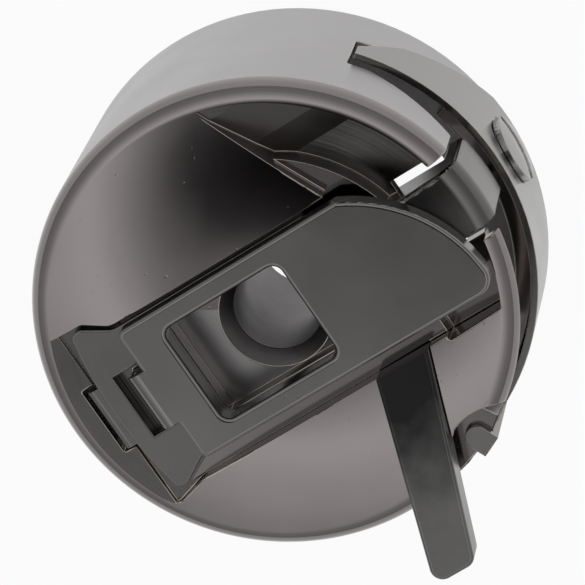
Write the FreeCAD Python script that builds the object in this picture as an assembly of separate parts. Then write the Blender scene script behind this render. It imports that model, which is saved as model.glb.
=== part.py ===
import FreeCAD, Part
import math
import os

# Front-loading bobbin case, in millimetres.
# Z runs along the stud bore and out of the face. Heights are measured from the open rim at the back,
# and the finished pieces are set down so that zero is the rear end of the stud tube.
# X runs along the latch, from its hinge to its thumb end.

# Cup
case_radius = 11.4
wall_thickness = 0.8
cup_depth = 9.9
plate_thickness = 1.95
tube_radius = 2.8
tube_end_height = 1.0
stud_bore_radius = 2.1
stud_mouth_radius = 2.65
stud_mouth_depth = 0.9

# Crown of the face
lip_step = 0.2
shoulder_radius = 1.2
crown_slope = 7.8
crown_swell = 6.0
crown_flat_radius = 4.5

# Latch channel
channel_upper_side = 3.85
channel_lower_side = 4.65
flare_upper_outer_gap = 0.13
flare_upper_inner_gap = 0.04
flare_upper_side = 4.58
flare_lower_outer_step = 0.07
flare_lower_inner_step = 1.77
flare_lower_side = 5.15
flare_inner_round = 0.9
flare_outer_round = 0.5
pocket_depth = 0.95
pocket_margin = 0.1
nail_pocket_depth = 1.15
nail_pocket_inset = 4.8
nail_pocket_side = 4.95
front_ring_width = 0.85
front_ring_thickness = 0.85

# Thread recess beside the latch
cheek_corner_inset = 5.8
recess_tip_x = 2.65
recess_tip_inset = 1.3
recess_rim_width = 0.9
recess_width = 2.7
recess_depth = 1.3
recess_ramp_low_y = 5.9
recess_ramp_high_y = 7.35
recess_ramp_rise = 0.65
recess_tip_rise = 1.5

# Tongue over the rim and the slits beside it
tongue_length = 3.4
tongue_upper_side = 1.85
tongue_lower_side = 1.35
tongue_end_height = 7.65
upper_slit_width = 0.55
lower_slit_width = 0.5
lower_slit_length = 2.8
tongue_round = 0.3

# Openings in the side wall
opening_low_height = 5.6
opening_end_angle = -58.0
thread_slot_angle = 41.2
thread_slot_inner_angle = 16.0
thread_slot_low_height = 3.8
thread_slot_high_height = 7.25
ramp_edge_high_height = 9.0
ramp_edge_slit_gap = 0.03
ramp_edge_far_angle = 36.0
hook_notch_angle = -64.07
hook_notch_outset = 0.72
hook_notch_radius = 2.35
hook_notch_depth = 1.15

# Latch slide
slide_gap = 0.05
slide_thickness = 0.7
slide_inset = 2.63
slide_end_gap = 0.2
slide_corner_step = 0.47
slide_head_half_width = 4.43
slide_head_length = 0.55
slide_neck_length = 1.35
slide_half_width = 3.65
slide_tail_gap = 3.8
slide_window_margin = 0.15
slide_lock_x = 1.95
slide_slot_half_width = 1.68
slide_slot_step = 0.55
slide_slot_gap = 0.07
slide_travel = 0.25
toe_half_width = 1.6
toe_thickness = 0.6
toe_drop = 0.5
toe_top_step = 0.12
toe_bend = 0.4
toe_gap = 0.15
toe_outer_gap = 0.25
slide_edge_round = 0.1
slide_corner_round = 0.4
slide_neck_round = 0.9

# Latch lever
lever_gap = 0.1
lever_thickness = 0.95
lever_half_width = 3.6
lever_hinge_step = 0.5
lever_curve_length = 4.1
lever_thumb_step = 1.45
lever_thumb_y = 1.45
lever_inset = 1.2
lever_tip_radius = 0.9
lever_corner_radius = 0.35
lever_window_left_x = -4.15
lever_window_right_x = 2.25
lever_window_half_width = 2.6
lever_window_corner = 0.5
tab_half_width = 1.45
tab_reach = 0.45
tab_bend = 0.75
lever_edge_round = 0.2

# Hinge of the lever
hinge_step = 2.22
hinge_pin_radius = 0.25
hinge_clearance = 0.03
hinge_post_half_length = 0.42
hinge_post_width = 0.4
hinge_post_gap = 0.07
hinge_post_relief = 0.1
knuckle_half_width = 0.93
knuckle_radius = 0.43
heel_half_length = 0.3
heel_drop = 0.62
heel_pocket_gap = 0.2

# Latch spring
coil_radius = 0.6
coil_wire_radius = 0.15
coil_pitch = 0.76
coil_turns = 4.25
coil_clearance = 0.1

# Position finger
finger_root_left_x = 2.8
finger_root_right_x = 5.65
finger_tip_left_x = -0.6
finger_tip_right_x = 1.7
finger_overhang = 3.15
finger_rise = 0.4
finger_thickness = 1.5
finger_tip_round = 0.6
finger_edge_round = 0.2

# Tension spring
leaf_gap = 0.03
leaf_thickness = 0.35
leaf_low_height = 0.8
leaf_high_height = 6.7
leaf_tip_angle = 40.3
leaf_tip_low_height = 5.6
leaf_taper_angle = 31.0
leaf_taper_height = 3.6
leaf_belly_angle = 6.0
hook_angle = -65.0
hook_width = 1.15
hook_reach = 1.4

# Tension screw
screw_angle = -4.0
screw_height = 3.65
screw_shank_radius = 0.75
screw_clearance = 0.05
screw_leaf_clearance = 0.2
screw_head_radius = 1.65
screw_head_thickness = 0.55
screw_head_dome = 0.2
screw_slot_width = 0.4
screw_slot_depth = 0.3
screw_slot_turn = 14.0
screw_seat_margin = 0.15
screw_seat_depth = 0.12
screw_end_gap = 0.05

# Room that a cutting shape has beyond the piece it cuts, and how close two places count as one
cut_margin = 2.0
tolerance = 1e-4

# Levels and places that follow from the sizes above
cup_radius = case_radius - wall_thickness
clear_radius = cup_radius - wall_thickness
channel_floor = cup_depth + plate_thickness
lip_height = channel_floor + lip_step
slope = math.radians(crown_slope)
swell = math.radians(crown_swell)
edge_slope = slope + swell
shoulder_start = lip_height - shoulder_radius * math.cos(edge_slope)
shoulder_end_radius = case_radius - shoulder_radius * (1 - math.sin(edge_slope))
crown_height = lip_height + (shoulder_end_radius - crown_flat_radius) * math.tan(slope)
slide_low = channel_floor + slide_gap
slide_top = slide_low + slide_thickness
lever_low = slide_top + lever_gap
lever_top = lever_low + lever_thickness
hinge_height = slide_top
knuckle_low_y = -knuckle_half_width
post_inner = knuckle_half_width + hinge_post_gap
post_outer = post_inner + hinge_post_width
post_relief = hinge_post_half_length + hinge_post_relief
front_ring_inner_radius = case_radius - front_ring_width
front_ring_low = lip_height - front_ring_thickness
recess_outer_radius = case_radius - recess_rim_width
recess_inner_radius = recess_outer_radius - recess_width
recess_tip_y = case_radius - recess_tip_inset
cheek_corner_x = case_radius - cheek_corner_inset
nail_pocket_left_x = case_radius - nail_pocket_inset
tongue_root_x = case_radius - tongue_length
lower_slit_start_x = case_radius - lower_slit_length
notch_middle = case_radius + hook_notch_outset
hook_notch_x = notch_middle * math.cos(math.radians(hook_notch_angle))
hook_notch_y = notch_middle * math.sin(math.radians(hook_notch_angle))
slide_reach = case_radius - slide_inset
slide_corner_x = -slide_reach + slide_corner_step
slide_head_side_x = slide_corner_x + slide_head_length
slide_neck_x = slide_head_side_x + slide_neck_length
slide_slot_left_x = slide_corner_x + slide_slot_step
slide_right_x = tongue_root_x - slide_tail_gap
flare_upper_outer_x = slide_head_side_x + flare_upper_outer_gap
flare_upper_inner_x = slide_neck_x + flare_upper_inner_gap
flare_lower_outer_x = -slide_reach + flare_lower_outer_step
flare_lower_inner_x = -slide_reach + flare_lower_inner_step
hinge_x = -slide_reach + hinge_step
lever_left_x = hinge_x + lever_hinge_step
lever_reach = case_radius - lever_inset
lever_thumb_x = lever_reach - lever_thumb_step
lever_straight_end_x = lever_reach - lever_curve_length
finger_tip_y = -(case_radius + finger_overhang)
upper_slit_high = tongue_upper_side + upper_slit_width
ramp_edge_near_side = upper_slit_high - ramp_edge_slit_gap
ramp_edge_near_angle = math.degrees(math.asin(ramp_edge_near_side / case_radius))
lower_slit_low = -tongue_lower_side - lower_slit_width
coil_outer = coil_radius + coil_wire_radius
coil_length = coil_pitch * coil_turns
coil_left_x = slide_right_x + coil_wire_radius
coil_right_x = coil_left_x + coil_length
coil_height = lever_low - coil_clearance - coil_outer
toe_outer_x = -(slide_reach + toe_thickness)
notch_floor = lip_height - hook_notch_depth
leaf_inner_radius = case_radius + leaf_gap
leaf_outer_radius = leaf_inner_radius + leaf_thickness
finger_root_y = -channel_lower_side
finger_top = crown_height + finger_rise
finger_low = finger_top - finger_thickness
beyond = case_radius + cut_margin
above = lever_top + cut_margin


def at(x, y, z):
    return FreeCAD.Vector(x, y, z)


up = at(0, 0, 1)
centre = at(0, 0, 0)


def block(x_low, x_high, y_low, y_high, z_low, z_high):
    return Part.makeBox(x_high - x_low, y_high - y_low, z_high - z_low, at(x_low, y_low, z_low))


def disc(radius, z_low, z_high, x=0.0, y=0.0):
    return Part.makeCylinder(radius, z_high - z_low, at(x, y, z_low))


def line(start, end):
    return Part.LineSegment(start, end).toShape()


def arc(start, middle, end):
    return Part.Arc(start, middle, end).toShape()


def prism(points, z_low, z_high):
    corners = [at(x, y, z_low) for x, y in points]
    face = Part.Face(Part.makePolygon(corners + corners[:1]))
    return face.extrude(at(0, 0, z_high - z_low))


def raised(edges, height):
    return Part.Face(Part.Wire(edges)).extrude(at(0, 0, height))


def sector(inner_radius, outer_radius, low_angle, high_angle, z_low, z_high):
    height = z_high - z_low
    ring = Part.makeCylinder(outer_radius, height, at(0, 0, z_low), up, high_angle - low_angle)
    ring = ring.cut(disc(inner_radius, z_low, z_high))
    ring.rotate(centre, up, low_angle)
    return ring


def radial_prism(points, inner_radius, outer_radius, angle):
    """A flat outline, given as (sideways, height), pushed out along the radius at one angle."""
    corners = [at(inner_radius, side, height) for side, height in points]
    face = Part.Face(Part.makePolygon(corners + corners[:1]))
    solid = face.extrude(at(outer_radius - inner_radius, 0, 0))
    solid.rotate(centre, up, angle)
    return solid


def radial_cylinder(radius, inner_radius, outer_radius, angle, height):
    solid = Part.makeCylinder(radius, outer_radius - inner_radius, at(inner_radius, 0, height), at(1, 0, 0))
    solid.rotate(centre, up, angle)
    return solid


def rounded_window(x_low, x_high, half_width, corner, z_low, z_high):
    solid = block(x_low, x_high, -half_width, half_width, z_low, z_high)
    upright = [edge for edge in solid.Edges if edge.BoundBox.ZLength > z_high - z_low - tolerance]
    return solid.makeFillet(corner, upright)


def round_top(solid, level, radius):
    """Round every edge that lies in one level plane."""
    edges = []
    for edge in solid.Edges:
        box = edge.BoundBox
        if abs(box.ZMin - level) < tolerance and abs(box.ZMax - level) < tolerance:
            edges.append(edge)
    return solid.makeFillet(radius, edges)


def cup_blank():
    """Turned cup: straight wall, rounded shoulder and a low dome with a flat crown."""
    bend = shoulder_radius
    bend_centre_x = case_radius - bend
    half_turn = (math.pi / 2 - edge_slope) / 2
    middle = at(bend_centre_x + bend * math.cos(half_turn), 0, shoulder_start + bend * math.sin(half_turn))
    foot = at(case_radius, 0, 0)
    wall_top = at(case_radius, 0, shoulder_start)
    dome_foot = at(shoulder_end_radius, 0, lip_height)
    dome_top = at(crown_flat_radius, 0, crown_height)
    dome_rise = (dome_top - dome_foot).Length / 2 * math.tan(swell / 2)
    dome_middle = (dome_foot + dome_top) * 0.5 + at(math.sin(slope), 0, math.cos(slope)) * dome_rise
    crown_centre = at(0, 0, crown_height)
    profile = [
        line(centre, foot),
        line(foot, wall_top),
        arc(wall_top, middle, dome_foot),
        arc(dome_foot, dome_middle, dome_top),
        line(dome_top, crown_centre),
        line(crown_centre, centre),
    ]
    outside = Part.Face(Part.Wire(profile)).revolve(centre, up, 360)
    tube = disc(tube_radius, tube_end_height, cup_depth)
    hollow = disc(cup_radius, 0, cup_depth).cut(tube)
    bore = disc(stud_bore_radius, 0, above)
    return outside.cut(hollow).cut(bore)


def round_upright(solid, places, radius):
    """Rounds the upright edges of a solid at the given places."""
    corners = []
    for edge in solid.Edges:
        box = edge.BoundBox
        upright = box.ZLength > tolerance and max(box.XLength, box.YLength) < tolerance
        for x, y in places:
            if upright and math.hypot(box.XMin - x, box.YMin - y) < tolerance:
                corners.append(edge)
    return solid.makeFillet(radius, corners)


def latch_cuts():
    """Bed of the slide, stud pocket, nail pocket and the small slots under the latch."""
    bed_left_x = -(slide_reach + slide_end_gap)
    flared = [
        (-beyond, -flare_lower_side),
        (flare_lower_outer_x, -flare_lower_side),
        (flare_lower_inner_x, -channel_lower_side),
        (0, -channel_lower_side),
        (0, channel_upper_side),
        (flare_upper_inner_x, channel_upper_side),
        (flare_upper_outer_x, flare_upper_side),
        (-beyond, flare_upper_side),
    ]
    inner_corners = [(flare_lower_inner_x, -channel_lower_side), (flare_upper_inner_x, channel_upper_side)]
    outer_corners = [(flare_lower_outer_x, -flare_lower_side), (flare_upper_outer_x, flare_upper_side)]
    lip = round_upright(prism(flared, lip_height, above), inner_corners, flare_inner_round)
    lip = round_upright(lip, outer_corners, flare_outer_round)
    bed = round_upright(prism(flared, channel_floor, above), inner_corners, flare_inner_round)
    bed = round_upright(bed, outer_corners, flare_outer_round)
    bed = bed.common(block(bed_left_x, 0, -beyond, beyond, 0, above))
    run = block(0, tongue_root_x, -channel_lower_side, channel_upper_side, channel_floor, above)

    nail_floor = channel_floor - nail_pocket_depth
    nail = block(nail_pocket_left_x, beyond, -nail_pocket_side, lower_slit_low, nail_floor, above)
    nail = nail.common(disc(front_ring_inner_radius, 0, above))

    pocket_floor = channel_floor - pocket_depth
    pocket = block(
        lever_window_left_x - pocket_margin,
        lever_window_right_x + pocket_margin,
        -lever_window_half_width - pocket_margin,
        lever_window_half_width + pocket_margin,
        pocket_floor,
        above,
    )
    mouth = Part.makeCone(
        stud_bore_radius, stud_mouth_radius, stud_mouth_depth, at(0, 0, pocket_floor - stud_mouth_depth)
    )

    toe_slot = block(
        toe_outer_x - toe_outer_gap,
        toe_outer_x + toe_thickness + slide_travel + toe_gap,
        -toe_half_width - toe_gap,
        toe_half_width + toe_gap,
        0,
        above,
    )
    heel_pocket = block(
        hinge_x - knuckle_radius - heel_pocket_gap,
        hinge_x + heel_drop + heel_pocket_gap,
        -post_inner,
        post_inner,
        channel_floor - heel_pocket_gap,
        above,
    )
    coil_groove = block(
        slide_right_x - coil_clearance,
        coil_right_x + coil_wire_radius + coil_clearance,
        -coil_outer - coil_clearance,
        coil_outer + coil_clearance,
        coil_height - coil_outer - coil_clearance,
        above,
    )
    return [lip, bed, run, nail, pocket, mouth, toe_slot, heel_pocket, coil_groove]


def recess_cuts():
    """Stepped recess that leads the thread from the wall to the slit beside the tongue."""
    outline = [
        (cheek_corner_x, channel_upper_side),
        (recess_tip_x, recess_tip_y),
        (beyond, recess_tip_y),
        (beyond, tongue_upper_side),
        (cheek_corner_x, tongue_upper_side),
    ]
    inside_rim = disc(recess_outer_radius, 0, above)
    shelf = prism(outline, channel_floor, above).common(inside_rim)

    low = channel_floor - recess_depth
    floor_line = [
        at(0, tongue_upper_side, low),
        at(0, recess_ramp_low_y, low),
        at(0, recess_ramp_high_y, low + recess_ramp_rise),
        at(0, recess_tip_y, low + recess_tip_rise),
        at(0, beyond, low + recess_tip_rise),
        at(0, beyond, above),
        at(0, tongue_upper_side, above),
    ]
    floor_face = Part.Face(Part.makePolygon(floor_line + floor_line[:1]))
    groove = floor_face.extrude(at(beyond, 0, 0))
    groove = groove.common(prism(outline, 0, above)).common(inside_rim)
    groove = groove.cut(disc(recess_inner_radius, 0, above))
    return [shelf, groove]


def wall_cuts():
    """Slits beside the tongue and the openings that let the thread out of the wall."""
    upper_slit = block(
        tongue_root_x, beyond, tongue_upper_side, upper_slit_high, opening_low_height, above
    )
    lower_slit = block(
        lower_slit_start_x, beyond, lower_slit_low, -tongue_lower_side, opening_low_height, above
    )
    inner = clear_radius
    under_tongue = block(
        inner, beyond, lower_slit_low, upper_slit_high, opening_low_height, tongue_end_height
    )
    slit_angle = math.degrees(math.asin(lower_slit_low / case_radius))
    side = sector(
        front_ring_inner_radius, beyond, opening_end_angle, slit_angle, opening_low_height, front_ring_low
    )
    thread_slot = sector(
        inner,
        beyond,
        thread_slot_inner_angle,
        thread_slot_angle,
        thread_slot_low_height,
        thread_slot_high_height,
    )
    middle_angle = (ramp_edge_near_angle + ramp_edge_far_angle) / 2
    half_side = case_radius * math.tan(math.radians(ramp_edge_far_angle - middle_angle))
    ramp_edge = radial_prism(
        [
            (-half_side, opening_low_height),
            (half_side, opening_low_height),
            (half_side, thread_slot_high_height),
            (-half_side, ramp_edge_high_height),
        ],
        inner,
        beyond,
        middle_angle,
    )
    notch = disc(hook_notch_radius, notch_floor, above, hook_notch_x, hook_notch_y)
    screw_hole = radial_cylinder(
        screw_shank_radius + screw_clearance, inner, beyond, screw_angle, screw_height
    )
    return [upper_slit, lower_slit, under_tongue, side, thread_slot, ramp_edge, notch, screw_hole]


def hinge_posts():
    """Two round-topped posts that stand through the slide's slot and hold the hinge pin."""
    posts = []
    half = hinge_post_half_length
    for low_y in (post_inner, -post_outer):
        foot = block(
            hinge_x - half, hinge_x + half, low_y, low_y + hinge_post_width, cup_depth, hinge_height
        )
        top = Part.makeCylinder(half, hinge_post_width, at(hinge_x, low_y, hinge_height), at(0, 1, 0))
        posts.append(foot.fuse(top))
    return posts


def finger_outline():
    """The finger is cut square along the channel and narrows to a rounded tip."""
    root_left = at(finger_root_left_x, finger_root_y, finger_low)
    root_right = at(finger_root_right_x, finger_root_y, finger_low)
    tip_right = at(finger_tip_right_x, finger_tip_y, finger_low)
    tip_left = at(finger_tip_left_x, finger_tip_y, finger_low)
    edges = [
        line(root_left, root_right),
        line(root_right, tip_right),
        line(tip_right, tip_left),
        line(tip_left, root_left),
    ]
    return raised(edges, finger_thickness)


def position_finger():
    bar = finger_outline()
    upright = []
    for edge in bar.Edges:
        box = edge.BoundBox
        if box.YMax < finger_tip_y + tolerance and box.ZLength > finger_thickness - tolerance:
            upright.append(edge)
    bar = bar.makeFillet(finger_tip_round, upright)
    top_edges = []
    for edge in bar.Edges:
        on_top = edge.BoundBox.ZMin > finger_top - tolerance
        if on_top and edge.BoundBox.YMin < finger_root_y - tolerance:
            top_edges.append(edge)
    return bar.makeFillet(finger_edge_round, top_edges)


def case_body():
    body = cup_blank()
    for tool in latch_cuts() + recess_cuts() + wall_cuts():
        body = body.cut(tool)
    for post in hinge_posts():
        body = body.fuse(post)
    pin_hole = Part.makeCylinder(
        hinge_pin_radius, 2 * post_outer, at(hinge_x, -post_outer, hinge_height), at(0, 1, 0)
    )
    body = body.cut(pin_hole).cut(finger_outline()).removeSplitter()
    tongue_edges = []
    for edge in body.Edges:
        box = edge.BoundBox
        on_upper_side = abs(box.YMin - tongue_upper_side) < tolerance and box.YLength < tolerance
        on_lower_side = abs(box.YMin + tongue_lower_side) < tolerance and box.YLength < tolerance
        outside = box.XMin > cup_radius or edge.CenterOfMass.z > shoulder_start
        if (on_upper_side or on_lower_side) and outside and box.XMax > clear_radius:
            tongue_edges.append(edge)
    return body.makeFillet(tongue_round, tongue_edges)


def latch_slide():
    """Stamped plate with a toe bent down at its outer end."""
    low = slide_low
    head_left = at(slide_corner_x, -slide_head_half_width, low)
    head_middle = at(-slide_reach, 0, low)
    head_right = at(slide_corner_x, slide_head_half_width, low)
    upper = [
        head_right,
        at(slide_head_side_x, slide_head_half_width, low),
        at(slide_neck_x, slide_half_width, low),
        at(slide_right_x, slide_half_width, low),
        at(slide_right_x, -slide_half_width, low),
        at(slide_neck_x, -slide_half_width, low),
        at(slide_head_side_x, -slide_head_half_width, low),
        head_left,
    ]
    edges = [arc(head_left, head_middle, head_right)]
    for start, end in zip(upper[:-1], upper[1:]):
        edges.append(line(start, end))
    plate = raised(edges, slide_thickness)
    for side in (1, -1):
        corner = (slide_corner_x, side * slide_head_half_width)
        head_side = (slide_head_side_x, side * slide_head_half_width)
        neck = (slide_neck_x, side * slide_half_width)
        plate = round_upright(plate, [corner, head_side], slide_corner_round)
        plate = round_upright(plate, [neck], slide_neck_round)

    window_left_x = lever_window_left_x - slide_window_margin
    window_half = lever_window_half_width + slide_window_margin
    window = rounded_window(window_left_x, slide_lock_x, window_half, lever_window_corner, low, slide_top)
    slot_right_x = hinge_x + hinge_post_half_length + slide_slot_gap
    slot = block(
        slide_slot_left_x, slot_right_x, -slide_slot_half_width, slide_slot_half_width, low, slide_top
    )
    toe = block(
        toe_outer_x,
        slide_corner_x,
        -toe_half_width,
        toe_half_width,
        cup_depth - toe_drop,
        slide_top - toe_top_step,
    )
    for edge in toe.Edges:
        box = edge.BoundBox
        if box.XMax < toe_outer_x + tolerance and box.ZMin > slide_low:
            toe = toe.makeFillet(toe_bend, [edge])
            break
    inside = block(
        toe_outer_x + toe_thickness, beyond, -toe_half_width, toe_half_width, 0, slide_low
    )
    toe = toe.cut(inside)
    plate = round_top(plate.cut(window).cut(slot), slide_top, slide_edge_round)
    return plate.fuse(toe).removeSplitter()


def latch_lever():
    """Thumb lever with a window over the stud and a bent tab that ends in the hinge knuckle."""
    low = lever_low
    tip_centre_x = lever_reach - lever_tip_radius
    tip_centre_y = -lever_half_width + lever_tip_radius
    diagonal = lever_tip_radius * math.sqrt(0.5)
    left_low = at(lever_left_x, -lever_half_width, low)
    left_high = at(lever_left_x, lever_half_width, low)
    straight_end = at(lever_straight_end_x, lever_half_width, low)
    thumb = at(lever_thumb_x, lever_thumb_y, low)
    tip_right = at(lever_reach, tip_centre_y, low)
    tip_middle = at(tip_centre_x + diagonal, tip_centre_y - diagonal, low)
    tip_low = at(tip_centre_x, -lever_half_width, low)
    edges = [
        line(left_low, left_high),
        line(left_high, straight_end),
        arc(straight_end, thumb, tip_right),
        arc(tip_right, tip_middle, tip_low),
        line(tip_low, left_low),
    ]
    plate = raised(edges, lever_thickness)
    corners = []
    for edge in plate.Edges:
        box = edge.BoundBox
        if box.XMax < lever_left_x + tolerance and box.ZLength > lever_thickness - tolerance:
            corners.append(edge)
    plate = plate.makeFillet(lever_corner_radius, corners)
    window = rounded_window(
        lever_window_left_x,
        lever_window_right_x,
        lever_window_half_width,
        lever_window_corner,
        low,
        lever_top,
    )
    plate = round_top(plate.cut(window), lever_top, lever_edge_round)

    tab_left_x = hinge_x - tab_reach
    tab_right_x = lever_left_x + lever_corner_radius
    tab = block(tab_left_x, tab_right_x, -tab_half_width, tab_half_width, lever_low, lever_top)
    for edge in tab.Edges:
        box = edge.BoundBox
        if box.XMax < tab_left_x + tolerance and box.ZMin > lever_top - tolerance:
            tab = tab.makeFillet(tab_bend, [edge])
            break
    knuckle_width = 2 * knuckle_half_width
    side = at(0, 1, 0)
    knuckle = Part.makeCylinder(knuckle_radius, knuckle_width, at(hinge_x, knuckle_low_y, hinge_height), side)
    heel = block(
        hinge_x - heel_half_length,
        hinge_x + heel_half_length,
        -knuckle_half_width,
        knuckle_half_width,
        hinge_height - heel_drop,
        hinge_height,
    )
    lever = plate.fuse(tab).fuse(knuckle).fuse(heel)

    reliefs = []
    for low_y in (knuckle_half_width, -tab_half_width - hinge_post_relief):
        width = tab_half_width + hinge_post_relief - knuckle_half_width
        relief = block(
            tab_left_x, hinge_x + post_relief, low_y, low_y + width, hinge_height, hinge_height + post_relief
        )
        reliefs.append(relief)
    for relief in reliefs:
        lever = lever.cut(relief)
    bore_radius = hinge_pin_radius + hinge_clearance
    bore = Part.makeCylinder(bore_radius, knuckle_width, at(hinge_x, knuckle_low_y, hinge_height), side)
    return lever.cut(bore).removeSplitter()


def latch_hinge_pin():
    return Part.makeCylinder(
        hinge_pin_radius, 2 * post_outer, at(hinge_x, -post_outer, hinge_height), at(0, 1, 0)
    )


def coil_point(turn):
    angle = 2 * math.pi * turn
    x = coil_left_x + coil_pitch * turn
    return at(x, coil_radius * math.cos(angle), coil_height + coil_radius * math.sin(angle))


def coil_direction(turn):
    angle = 2 * math.pi * turn
    around = 2 * math.pi * coil_radius
    direction = at(coil_pitch, -around * math.sin(angle), around * math.cos(angle))
    return direction.normalize()


def tangent_arc(start, corner, end):
    """Arc from start to end whose tangents meet at the corner."""
    chord_middle = (start + end) * 0.5
    half_cosine = (end - start).Length / 2 / (corner - start).Length
    bulge = half_cosine / (1 + half_cosine)
    return arc(start, chord_middle + (corner - chord_middle) * bulge, end)


def biarc(start, start_direction, end, end_direction):
    """Two arcs that join smoothly between two places with given directions."""
    span = end - start
    both = start_direction + end_direction
    square = both.dot(both) - 4
    linear = -2 * span.dot(both)
    constant = span.dot(span)
    leg = (-linear - math.sqrt(linear * linear - 4 * square * constant)) / (2 * square)
    first_corner = start + start_direction * leg
    second_corner = end - end_direction * leg
    join = (first_corner + second_corner) * 0.5
    return [tangent_arc(start, first_corner, join), tangent_arc(join, second_corner, end)]


def latch_spring():
    """Compression spring that holds the slide out, wound from round wire."""
    quarters = round(4 * coil_turns)
    edges = []
    for step in range(quarters):
        first = step / 4
        last = (step + 1) / 4
        edges += biarc(coil_point(first), coil_direction(first), coil_point(last), coil_direction(last))
    path = Part.Wire(edges)
    section = Part.Wire(Part.makeCircle(coil_wire_radius, coil_point(0), coil_direction(0)))
    gap = coil_pitch * math.cos(math.atan2(coil_pitch, 2 * math.pi * coil_radius)) - 2 * coil_wire_radius
    print("least gap between turns of the latch spring:", round(gap, 3))
    return path.makePipeShell([section], True, False)


def tension_spring():
    """Leaf spring round the wall: a thread tongue at one end and a hook over the face at the other."""
    inner = leaf_inner_radius
    outer = leaf_outer_radius
    half_hook = math.degrees(hook_width / 2 / outer)
    hook_low_angle = hook_angle - half_hook
    hook_high_angle = hook_angle + half_hook
    leaf = sector(inner, outer, hook_low_angle, leaf_tip_angle, leaf_low_height, leaf_high_height)

    taper_middle = (leaf_taper_angle + leaf_belly_angle) / 2
    taper_half = outer * math.tan(math.radians(leaf_taper_angle - taper_middle))
    belly_cut = radial_prism(
        [
            (-taper_half, leaf_low_height - cut_margin),
            (taper_half, leaf_low_height - cut_margin),
            (taper_half, leaf_taper_height),
            (-taper_half, leaf_low_height),
        ],
        0,
        beyond,
        taper_middle,
    )
    tip_half = outer * math.tan(math.radians(leaf_tip_angle - leaf_taper_angle))
    tip_cut = radial_prism(
        [
            (0, leaf_low_height - cut_margin),
            (tip_half + cut_margin, leaf_low_height - cut_margin),
            (tip_half + cut_margin, leaf_tip_low_height),
            (tip_half, leaf_tip_low_height),
            (0, leaf_taper_height),
        ],
        0,
        beyond,
        leaf_taper_angle,
    )
    leaf = leaf.cut(belly_cut).cut(tip_cut)

    hook_low = notch_floor + leaf_gap
    hook_high = hook_low + leaf_thickness
    arm = sector(inner, outer, hook_low_angle, hook_high_angle, leaf_low_height, hook_high)
    hook_inner = outer - hook_reach + hook_width / 2
    half_width = hook_width / 2
    tab = block(hook_inner, outer - leaf_gap, -half_width, half_width, hook_low, hook_high)
    tab = tab.fuse(disc(half_width, hook_low, hook_high, hook_inner, 0))
    tab.rotate(centre, up, hook_angle)
    tab = tab.common(disc(outer, hook_low, hook_high))
    leaf = leaf.fuse(arm).fuse(tab)

    hole = radial_cylinder(
        screw_shank_radius + screw_leaf_clearance, 0, beyond, screw_angle, screw_height
    )
    seat = radial_cylinder(
        screw_head_radius + screw_seat_margin, outer - screw_seat_depth, beyond, screw_angle, screw_height
    )
    return leaf.cut(hole).cut(seat).removeSplitter()


def tension_screw():
    """Slotted screw with a low domed head."""
    seat_radius = leaf_outer_radius - screw_seat_depth + leaf_gap
    head_top = seat_radius + screw_head_thickness
    shank = Part.makeCylinder(
        screw_shank_radius,
        seat_radius - cup_radius - screw_end_gap,
        at(cup_radius + screw_end_gap, 0, screw_height),
        at(1, 0, 0),
    )
    rim_x = head_top - screw_head_dome
    low_rim = at(seat_radius, 0, screw_height)
    rim_foot = at(seat_radius, 0, screw_height + screw_head_radius)
    rim_edge = at(rim_x, 0, screw_height + screw_head_radius)
    crown = at(head_top, 0, screw_height)
    dome_radius = (screw_head_radius ** 2 + screw_head_dome ** 2) / (2 * screw_head_dome)
    half_angle = math.asin(screw_head_radius / dome_radius) / 2
    dome_fall = dome_radius * (1 - math.cos(half_angle))
    dome_rise = dome_radius * math.sin(half_angle)
    dome_middle = at(head_top - dome_fall, 0, screw_height + dome_rise)
    profile = [
        line(low_rim, rim_foot),
        line(rim_foot, rim_edge),
        arc(rim_edge, dome_middle, crown),
        line(crown, low_rim),
    ]
    head = Part.Face(Part.Wire(profile)).revolve(at(0, 0, screw_height), at(1, 0, 0), 360)
    slot = block(
        head_top - screw_slot_depth,
        head_top + cut_margin,
        -screw_head_radius - cut_margin,
        screw_head_radius + cut_margin,
        screw_height - screw_slot_width / 2,
        screw_height + screw_slot_width / 2,
    )
    slot.rotate(at(0, 0, screw_height), at(1, 0, 0), -screw_slot_turn)
    screw = head.fuse(shank).cut(slot).removeSplitter()
    screw.rotate(centre, up, screw_angle)
    return screw


pieces = {
    "case_body": case_body,
    "position_finger": position_finger,
    "latch_hinge_pin": latch_hinge_pin,
    "latch_slide": latch_slide,
    "latch_lever": latch_lever,
    "latch_spring": latch_spring,
    "tension_spring": tension_spring,
    "tension_screw": tension_screw,
}

os.makedirs("parts", exist_ok=True)
for name, make in pieces.items():
    shape = make()
    shape.translate(at(0, 0, -tube_end_height))
    print(name, shape.ShapeType, len(shape.Solids), shape.isValid(), round(shape.Volume, 2))
    shape.exportStep("parts/" + name + ".step")
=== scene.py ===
import math

import bmesh
import bpy
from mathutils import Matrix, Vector
from mathutils.bvhtree import BVHTree


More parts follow.
